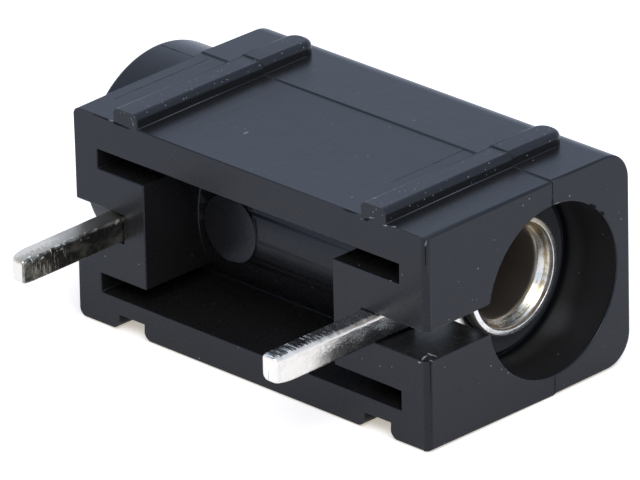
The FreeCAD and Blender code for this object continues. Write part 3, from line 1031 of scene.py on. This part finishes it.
    def pale_scraps(self) -> list[Ridge]:
        """Scraps of flash along the board face and round the mouth's slot, placed as in the photograph.

        Returns:
            The scraps.
        """
        board = {"outward": (0, -1, 0), "unevenness": 0.8, "sink": 0.03}
        face = self.board
        mouth = {"outward": (1, 0, 0), "unevenness": 0.6, "sink": 0.03}
        return [
            Ridge((-3.82, face, 4.88), (-3.68, face, 4.94), width=0.1, height=0.06, seed=11, **board),
            Ridge((-3.3, face, 5.12), (-2.95, face, 5.19), width=0.07, height=0.06, seed=12, **board),
            Ridge((-2.5, face, 5.0), (-2.15, face, 5.05), width=0.05, height=0.05, seed=13, **board),
            Ridge((-2.0, face, 5.07), (-1.7, face, 5.12), width=0.06, height=0.05, seed=14, **board),
            Ridge((-18.12, face, 5.68), (-18.0, face, 5.64), width=0.09, height=0.06, seed=15, **board),
            Ridge((-17.68, face, 5.58), (-17.58, face, 5.4), width=0.08, height=0.06, seed=16, **board),
            Ridge((-17.57, face, 5.38), (-17.53, face, 5.2), width=0.06, height=0.05, seed=17, **board),
            Ridge((-19.1, face, 5.05), (-18.75, face, 5.07), width=0.04, height=0.04, seed=18, **board),
            Ridge((-0.6, face, -0.8), (-0.35, face, -0.78), width=0.06, height=0.04, seed=19, **board),
            Ridge((-0.34, face, -0.66), (-0.09, -7.76, -0.36), width=0.07, height=0.05, arch=0.05, seed=20,
                  **board),
            Ridge((-0.05, -7.72, 4.98), (-0.08, -7.76, 4.7), width=0.07, height=0.05, seed=21, **mouth),
            Ridge((-0.04, -7.7, -0.62), (0.0, -7.5, -0.72), width=0.06, height=0.04, seed=22, **mouth),
            Ridge((-0.08, -7.76, -0.28), (0.0, -7.25, -0.6), width=0.05, height=0.04, arch=0.05, seed=23,
                  **mouth),
            Ridge((0.0, 0.14, 4.04), (0.0, 0.42, 4.03), width=0.06, height=0.04, seed=24, **mouth),
        ]

    def painted_shade_lines(self) -> list[Ridge]:
        """Dark lines of painted shade beside the ribs' feet and on the mouth, placed as in the photograph.

        Returns:
            The lines, on the board face first and then on the mouth.
        """
        board = {"outward": (0, -1, 0), "sink": 0.03}
        face = self.board
        return [
            Ridge((-3.66, face, 4.9), (-3.2, face, 5.02), width=0.09, height=0.02, seed=31, **board),
            Ridge((-20.1, face, 5.04), (-19.0, face, 5.03), width=0.06, height=0.02, seed=32, **board),
            Ridge((-18.9, face, 5.0), (-17.75, face, 4.99), width=0.08, height=0.02, seed=33, **board),
            Ridge((-4.9, face, 5.04), (-4.05, face, 5.03), width=0.05, height=0.02, seed=34, **board),
            Ridge((-0.09, -7.76, 4.85), (-0.09, -7.76, 3.8), (1, -1, 0), width=0.03, height=0.006,
                  seed=35),
            Ridge((0.0, -0.05, 4.42), (0.0, -0.01, 4.0), (1, 0, 0), width=0.16, height=0.03, seed=36),
            Ridge((0.0, 2.3, 3.32), (0.0, 2.75, 2.98), (1, 0, 0), width=0.1, height=0.02, unevenness=0.8,
                  seed=37),
            Ridge((0.0, 2.95, 2.78), (0.0, 3.25, 2.44), (1, 0, 0), width=0.12, height=0.02, unevenness=0.8,
                  seed=38),
        ]

    def build(self) -> None:
        """Make the shell, its flash and its lines of painted shade."""
        material = self.finish.build()
        self.build_shell(material)
        self.add_ridges("parting_flash", self.seam_ridges() + self.insert_ridges(), material)
        self.add_ridges("pale_flash_scraps", self.pale_scraps(), self.pale_scrap.build())
        self.add_ridges("painted_shade_ridges", self.painted_shade_lines(), self.painted_shade.build())

    @staticmethod
    def add_ridges(name: str, ridges: list[Ridge], material: bpy.types.Material) -> None:
        """Add several ridges as one piece.

        Args:
            name: Name of the piece.
            ridges: Its ridges.
            material: Its finish.
        """
        lines = [ridge.build(f"{name}_{number}") for number, ridge in enumerate(ridges)]
        add_piece(name, joined(name, lines), material)


@dataclass
class ContactSleeve:
    """Turned contact sleeve with a flat rim, a short counterbore and a lead-in cone."""

    finish: NickelPlate = NickelPlate()
    node: str = "contact_sleeve"
    rim: float = -2.3
    end: float = -22.6
    outer: float = 2.75
    outer_rounding: float = 0.1
    counterbore: float = 2.45
    counterbore_rounding: float = 0.03
    crease: float = -2.5
    cone_end: float = -2.9
    cone_radius: float = 2.14
    bore: float = 2.05
    bore_start: float = -3.18
    end_chamfer: float = 0.2
    # Points of the outline's long, short and shortest runs, and of its roundings
    long_run: int = 40
    short_run: int = 12
    shortest_run: int = 6
    blend_run: int = 10
    turns: int = 256
    sharp_angle: float = 30.0

    def profile(self) -> Array:
        """Closed outline of the wall, as places along the axis and radii.

        The flank runs to the rounded rim, a short counterbore falls to a crease, and a straight cone leads
        in. A parabola, whose control point is where the cone would meet the bore, rounds off into the
        bore, which runs back to the chamfered inner end.

        Returns:
            The outline's points, as rows of a place along X and a radius.
        """
        shoulder = self.rim - self.outer_rounding
        flank = self.line((self.end + self.end_chamfer, self.outer), (shoulder, self.outer), self.long_run)
        over = arc(shoulder, self.outer - self.outer_rounding, self.outer_rounding, 90.0, 0.0,
                   self.short_run)
        inner_over = arc(self.rim - self.counterbore_rounding, self.counterbore + self.counterbore_rounding,
                         self.counterbore_rounding, 0.0, -90.0, self.shortest_run)
        wall = self.line((self.rim - self.counterbore_rounding, self.counterbore),
                         (self.crease, self.counterbore), self.shortest_run)
        cone = self.line((self.crease, self.counterbore), (self.cone_end, self.cone_radius),
                         self.short_run)
        slope = (self.counterbore - self.cone_radius) / (self.crease - self.cone_end)
        corner = (self.cone_end - (self.cone_radius - self.bore) / slope, self.bore)
        share = np.linspace(0.0, 1.0, self.blend_run)[:, None]
        blend = ((1.0 - share) ** 2 * np.array((self.cone_end, self.cone_radius))
                 + 2.0 * share * (1.0 - share) * np.array(corner)
                 + share ** 2 * np.array((self.bore_start, self.bore)))
        bore = self.line((self.bore_start, self.bore), (self.end, self.bore), self.long_run)
        rear = np.array([[self.end, self.outer - self.end_chamfer]])
        return np.vstack([flank, over[1:], inner_over, wall[1:], cone[1:], blend[1:], bore[1:], rear])

    @staticmethod
    def line(start: Pair, end: Pair, count: int) -> Array:
        """Points of a straight line, both ends included."""
        return np.linspace(np.array(start), np.array(end), count)

    def build(self) -> None:
        """Turn the outline about the axis: y is the radius times cos a, and z the radius times sin a."""
        outline = self.profile()
        angle = np.linspace(0.0, 2.0 * math.pi, self.turns, endpoint=False)
        grid = np.stack([
            np.broadcast_to(outline[:, :1], (len(outline), self.turns)),
            outline[:, 1:] * np.cos(angle),
            outline[:, 1:] * np.sin(angle),
        ], axis=-1)
        mesh = skin("turned_sleeve", grid, wrap_rows=True)
        piece = add_piece("turned_sleeve", mesh, self.finish.build())
        piece.data.set_sharp_from_angle(angle=math.radians(self.sharp_angle))
        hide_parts(self.node)


@dataclass
class Foot:
    """Flat foot of a pin beside the sleeve, on the floor of the shroud recess.

    It lies between two radii and two angles in degrees, and its front has a chamfered edge.
    """

    front: float = -2.6
    back: float = -3.02
    inner: float = 3.14
    outer: float = 3.7
    start: float = 190.0
    end: float = 222.0
    edge: float = 0.02
    stations: int = 40

    def build(self, name: str) -> bpy.types.Mesh:
        """Turn a chamfered strip about the plug axis: y is the radius times cos a, and z times sin a.

        Args:
            name: Name of the mesh.

        Returns:
            The mesh, in place.
        """
        chamfer = self.front - self.edge
        outline = np.array([
            (self.back, self.inner), (chamfer, self.inner), (self.front, self.inner + self.edge),
            (self.front, self.outer - self.edge), (chamfer, self.outer), (self.back, self.outer),
        ])
        angle = np.radians(np.linspace(self.start, self.end, self.stations))[:, None]
        grid = np.stack([
            np.broadcast_to(outline[None, :, 0], (self.stations, len(outline))),
            outline[None, :, 1] * np.cos(angle),
            outline[None, :, 1] * np.sin(angle),
        ], axis=-1)
        return skin(name, grid)


@dataclass
class SolderPin:
    """Sheared solder pin: a bar of rounded oblong section with a rounded tip.

    Each of the tip's four roundings is a depth and a length.
    """

    name: str
    node: str
    finish: TinPlate
    tip_low: Pair
    tip_high: Pair
    tip_left: Pair
    tip_right: Pair
    # Radius of the section's corners, which grows to another over the tip's reach
    corner: float = 0.07
    tip_corner: float = 0.16
    tip_reach: float = 0.7
    # Wider corner low on the left at the tip, and high on the right before it
    cut: float = 0.0
    roll: float = 0.0
    # Slope along X beyond the board face, and the foot in the recess, if any
    lean: float = 0.0
    foot: Foot | None = None
    # Depth of the shear marks on the sides and of the beads along the corners
    mark_depth: float = 0.014
    bead_depth: float = 0.02
    waves_round: float = 24.0
    seed: int = 11
    board: float = BOARD_FACE
    # Stations along the pin, which crowd towards the tip, and the sizes of the end face's inner rings
    stations: int = 190
    crowding: float = 1.6
    end_rings: Triple = (0.92, 0.5, 0.1)
    corner_points: int = 7
    side_points: int = 30

    def inset(self, y: Array, tip: float, rounding: Pair) -> Array:
        """How far a side falls back near the tip.

        A rounding of depth a and length b is a quarter of an ellipse: a - a sqrt(1 - (d / b)(d / b)) at
        distance d into it.

        Args:
            y: Places along the pin.
            tip: Place of its end.
            rounding: Depth and length of the rounding.

        Returns:
            The side's distance from its straight line at each place.
        """
        depth, length = rounding
        into = np.clip((tip + length - y) / length, 0.0, 1.0)
        return depth - depth * np.sqrt(np.maximum(1.0 - into * into, 0.0))

    def section(self) -> tuple[Array, Array]:
        """Outline of the bar's section: four quarter circles of a corner's radius, and the sides between.

        Returns:
            The place that each point hangs on, from -1 to 1 between the corners' centres on both axes,
            and the direction in which the point lies from there, a corner's radius away.
        """
        quarter = np.linspace(0.0, math.pi / 2.0, self.corner_points)
        side = np.linspace(1.0, -1.0, self.side_points)[1:-1]
        anchors, outwards = [], []
        for number in range(4):
            angle = number * math.pi / 2.0
            turn = np.array([[math.cos(angle), math.sin(angle)], [-math.sin(angle), math.cos(angle)]])
            arc_outward = np.stack([np.cos(quarter), np.sin(quarter)], axis=1)
            anchors += [np.ones((self.corner_points, 2)) @ turn,
                        np.stack([side, np.ones_like(side)], axis=1) @ turn]
            outwards += [arc_outward @ turn, np.tile([0.0, 1.0], (len(side), 1)) @ turn]
        return np.vstack(anchors), np.vstack(outwards)

    def build(self) -> None:
        """Carry the section along the pin.

        At each station the section is fitted to the width and height left by the tip's roundings, moved
        aside by the lean beyond the board face, and roughened along its outward direction. The radius of
        the low left corner grows by the cut towards the tip, and the high right corner's is wider by the
        roll before it. The sides share both in proportion. Smaller copies of the last section flatten the
        end face.
        """
        low, high = (np.array(corner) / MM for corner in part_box(self.node))
        share = np.linspace(0.0, 1.0, self.stations)
        y = high[1] + (low[1] - high[1]) * (1.0 - (1.0 - share) ** self.crowding)
        left = low[0] + self.inset(y, low[1], self.tip_left)
        right = high[0] - self.inset(y, low[1], self.tip_right)
        bottom = low[2] + self.inset(y, low[1], self.tip_low)
        top = high[2] - self.inset(y, low[1], self.tip_high)
        anchor, outward = self.section()
        centre = np.stack([(left + right) / 2.0, (bottom + top) / 2.0], axis=1)[:, None, :]
        nearness = np.clip((low[1] + self.tip_reach - y) / self.tip_reach, 0.0, 1.0) ** 2
        cut_corner = (1.0 - anchor[:, :1]) * (1.0 - anchor[:, 1:]) / 4.0
        rolled_corner = (1.0 + anchor[:, :1]) * (1.0 + anchor[:, 1:]) / 4.0
        nearness = nearness[:, None, None]
        corner = (self.corner + (self.tip_corner - self.corner) * nearness
                  + self.cut * nearness * cut_corner + self.roll * (1.0 - nearness) * rolled_corner)
        reach = np.stack([(right - left) / 2.0, (top - bottom) / 2.0], axis=1)[:, None, :] - corner
        rough = self.relief(y, outward)[..., None]
        flat = centre + anchor * reach + outward * (corner - rough)
        rings = [centre[-1] + (flat[-1:] - centre[-1]) * size for size in self.end_rings]
        flat = np.concatenate([flat] + rings)
        y = np.concatenate([y, np.full(len(rings), low[1])])
        shift = self.lean * np.clip(self.board - y, 0.0, None)
        grid = np.stack([flat[..., 0] + shift[:, None], np.broadcast_to(y[:, None], flat.shape[:2]),
                         flat[..., 1]], axis=-1)
        meshes = [skin(self.name, grid)] + ([self.foot.build("foot")] if self.foot else [])
        piece = add_piece(self.name, joined(self.name, meshes), self.finish.build())
        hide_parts(self.node)

    def relief(self, y: Array, outward: Array) -> Array:
        """Depth of the shear marks: lattice noise stretched along the pin, and beads along its corners.

        The sides get half their depth everywhere, 0.3 of it by coarse noise and 0.2 by fine. The corners
        get beads by the share 2 |u v| of their direction (u, v), half of it everywhere. Each noise has so
        many waves in a millimetre along the pin, and an offset that parts it from the others.

        Args:
            y: Places along the pin.
            outward: Direction of each point of the section.

        Returns:
            The depth at each place and point.
        """
        along = y[:, None]
        turn = np.linspace(0.0, self.waves_round, len(outward), endpoint=False)[None, :]
        coarse = lattice_noise(self.seed, along * 1.7 + 40.0, turn * 0.6 + along * 0.0)
        fine = lattice_noise(self.seed + 1, along * 6.0 + 200.0, turn * 2.0 + along * 2.0)
        bead = lattice_noise(self.seed + 2, along * 5.5 + 300.0, turn * 0.3 + along * 0.0)
        corner = (2.0 * np.abs(outward[:, 0] * outward[:, 1]))[None, :]
        return (self.mark_depth * (0.5 + 0.3 * coarse + 0.2 * fine)
                + self.bead_depth * corner * (0.5 + 0.5 * bead))


@dataclass
class Studio:
    """Pale floor, soft lamp and the camera, whose pose was solved from the block's straight edges."""

    floor_height: float = -4.98
    floor_size: float = 4000.0
    eye: Triple = (252.15, -266.65, 167.78)
    right: Triple = (0.71419, 0.69963, -0.02125)
    up: Triple = (-0.27345, 0.30682, 0.91163)
    back: Triple = (0.64432, -0.64527, 0.41045)
    sensor_width: float = 36.0
    lens: float = 528.36
    clip_start: float = 50.0
    clip_end: float = 20000.0
    lamp_place: Triple = (270.0, -245.0, 370.0)
    lamp_size: float = 300.0
    lamp_power: float = 1.25
    world_strength: float = 0.84
    world_colour: Colour = (0.86, 1.0, 1.27, 1.0)

    def build_floor(self) -> None:
        """Lay the floor under the part."""
        half = self.floor_size / 2.0
        corners = np.array([(-half, -half), (half, -half), (half, half), (-half, half)])
        points = np.column_stack([corners, np.full(4, self.floor_height)]) * MM
        mesh = bpy.data.meshes.new("floor")
        mesh.from_pydata(points.tolist(), [], [(0, 1, 2, 3)])
        mesh.materials.append(PaleCard().build())
        floor = bpy.data.objects.new("floor", mesh)
        bpy.context.scene.collection.objects.link(floor)

    def build_world(self) -> None:
        """Light the part evenly from all round."""
        world = bpy.data.worlds.new("soft_room")
        world.use_nodes = True
        ground = world.node_tree.nodes["Background"]
        ground.inputs["Color"].default_value = self.world_colour
        ground.inputs["Strength"].default_value = self.world_strength
        bpy.context.scene.world = world

    def build_lamp(self) -> None:
        """Hang a round soft lamp that looks at the part."""
        lamp = bpy.data.lights.new("key_lamp", "AREA")
        lamp.shape = "DISK"
        lamp.size = self.lamp_size * MM
        lamp.energy = self.lamp_power
        holder = bpy.data.objects.new("key_lamp", lamp)
        aim = -np.array(self.lamp_place) / np.linalg.norm(self.lamp_place)
        side = np.cross(aim, (0.0, 0.0, 1.0))
        side /= np.linalg.norm(side)
        over = np.cross(side, aim)
        holder.matrix_world = self.pose(tuple(side), tuple(over), tuple(-aim), self.lamp_place)
        bpy.context.scene.collection.objects.link(holder)

    @staticmethod
    def pose(right: Triple, up: Triple, back: Triple, place: Triple) -> Matrix:
        """Matrix of an object from its three directions and its place in millimetres."""
        columns = np.column_stack([right, up, back, np.array(place) * MM])
        return Matrix(np.vstack([columns, (0.0, 0.0, 0.0, 1.0)]).tolist())

    def build_camera(self) -> None:
        """Stand the camera where the photograph was taken from."""
        camera = bpy.data.cameras.new("camera")
        camera.sensor_width = self.sensor_width
        camera.lens = self.lens
        camera.clip_start = self.clip_start * MM
        camera.clip_end = self.clip_end * MM
        holder = bpy.data.objects.new("camera", camera)
        holder.matrix_world = self.pose(self.right, self.up, self.back, self.eye)
        bpy.context.scene.collection.objects.link(holder)
        bpy.context.scene.camera = holder

    def build(self) -> None:
        """Make the whole studio."""
        self.build_floor()
        self.build_world()
        self.build_lamp()
        self.build_camera()
        bpy.context.scene.view_settings.view_transform = "Standard"


def front_pin() -> SolderPin:
    """Describe the front pin, whose upper face is the cut one, with painted light on it near the block.

    Returns:
        The pin, with its foot in the recess.
    """
    tin = TinPlate("front_tin", cut_axis=Axis.Z, cut_from=0.62, cut_colour=(0.11, 0.104, 0.092, 1.0),
                   streak_share=1.0, streak_blur=0.1, edge_share=1.0, painted_light_share=1.0, shade_end=-5.5)
    return SolderPin("front_pin", "front_solder_pin", tin, tip_low=(0.22, 1.6), tip_high=(0.1, 0.16),
                     tip_left=(0.16, 0.2), tip_right=(0.12, 0.16), cut=0.12, roll=0.2, foot=Foot(),
                     seed=21)


def rear_pin() -> SolderPin:
    """Describe the rear pin, whose front face is the cut one, with glints along its upper edge.

    Returns:
        The pin, which leans a little towards the mouth.
    """
    tin = TinPlate("rear_tin", cut_axis=Axis.X, cut_from=-18.42, cut_colour=(0.13, 0.12, 0.1, 1.0),
                   streak_share=0.45, streak_blur=0.16, roughness=0.32, shade_share=0.8,
                   shade_height=1.0, glint_share=0.75, grain_share=0.85, worn_from=-10.6,
                   colour=(0.86, 0.83, 0.73, 1.0), shade_colour=(0.4, 0.37, 0.3, 1.0),
                   top_colour=(0.86, 0.75, 0.61, 1.0))
    return SolderPin("rear_pin", "rear_solder_pin", tin, tip_low=(0.12, 0.3), tip_high=(0.12, 0.25),
                     tip_left=(0.42, 1.2), tip_right=(0.03, 0.06), roll=0.07, lean=0.015,
                     bead_depth=0.05, seed=31)


def main() -> None:
    """Build the part's pieces and the studio in order."""
    logging.basicConfig(level=logging.INFO, format="%(name)s %(message)s")
    Housing().build()
    ContactSleeve().build()
    front_pin().build()
    rear_pin().build()
    Studio().build()


if __name__ == "__main__":
    main()
